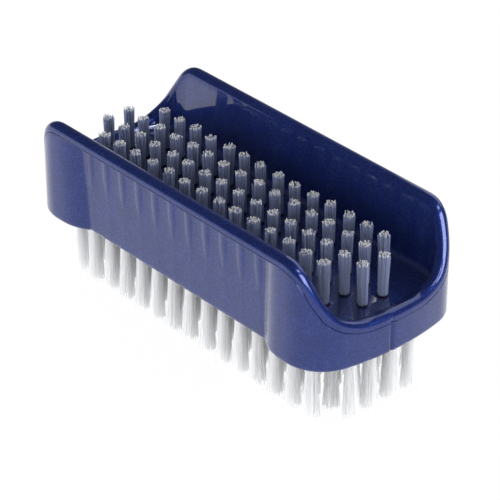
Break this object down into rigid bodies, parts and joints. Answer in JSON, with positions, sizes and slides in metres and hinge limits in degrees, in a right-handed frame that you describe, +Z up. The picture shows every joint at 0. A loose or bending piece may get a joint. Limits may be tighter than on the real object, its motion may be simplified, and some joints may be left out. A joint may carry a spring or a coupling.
{
  "type": "double-sided nail brush",
  "caption": "Double-sided nail brush with a dark blue moulded body: short tufts in a trough between high side walls, longer tufts below, low lips at both ends and creased grips.",
  "frame": {"origin": "centre of the footprint, on the surface that the tips of the lower tufts stand on", "axes": "+X along the length, +Y across the side walls, +Z up out of the trough"},
  "size_m": [0.0946, 0.0404, 0.038],
  "materials": {
    "body_plastic": "dark blue pearl plastic with a fine metallic sparkle, polished inside the trough",
    "filaments": "milky translucent nylon filament",
    "anchor_wire": "plain flat wire"
  },
  "bodies": {
    "root": {"body": "body_plastic", "upper_tufts_row_1": "filaments", "upper_tufts_row_2": "filaments", "upper_tufts_row_3": "filaments", "upper_tufts_row_4": "filaments", "lower_tufts_row_1": "filaments", "lower_tufts_row_2": "filaments", "lower_tufts_row_3": "filaments", "lower_tufts_row_4": "filaments", "lower_tufts_row_5": "filaments", "lower_tufts_row_6": "filaments", "upper_anchors_row_1": "anchor_wire", "upper_anchors_row_2": "anchor_wire", "upper_anchors_row_3": "anchor_wire", "upper_anchors_row_4": "anchor_wire", "lower_anchors_row_1": "anchor_wire", "lower_anchors_row_2": "anchor_wire", "lower_anchors_row_3": "anchor_wire", "lower_anchors_row_4": "anchor_wire", "lower_anchors_row_5": "anchor_wire", "lower_anchors_row_6": "anchor_wire"}
  },
  "joints": []
}
